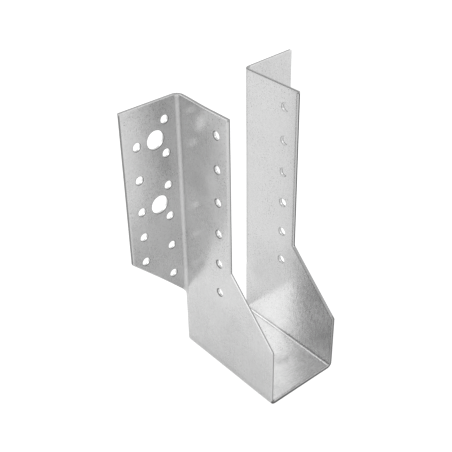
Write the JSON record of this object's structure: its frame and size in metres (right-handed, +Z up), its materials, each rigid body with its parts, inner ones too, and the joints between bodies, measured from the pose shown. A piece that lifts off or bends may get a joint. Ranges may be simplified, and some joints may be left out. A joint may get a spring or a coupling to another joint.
{
  "type": "joist hanger",
  "caption": "Face-fix joist hanger folded from sheet steel: a seat, two side webs with sloped front edges, and two outward header flanges with nail and bolt holes.",
  "frame": {"origin": "on the underside of the seat, midway across the width and midway between the header plane and the seat's front edge", "axes": "+Z up along the webs, +Y towards the header, +X to the right seen from the joist"},
  "size_m": [0.121, 0.0776, 0.169],
  "materials": {
    "galvanised_steel": "hot-dip zinc, pale grey, faintly mottled, soft gloss"
  },
  "bodies": {
    "root": {"joist_hanger": "galvanised_steel"}
  },
  "joints": []
}
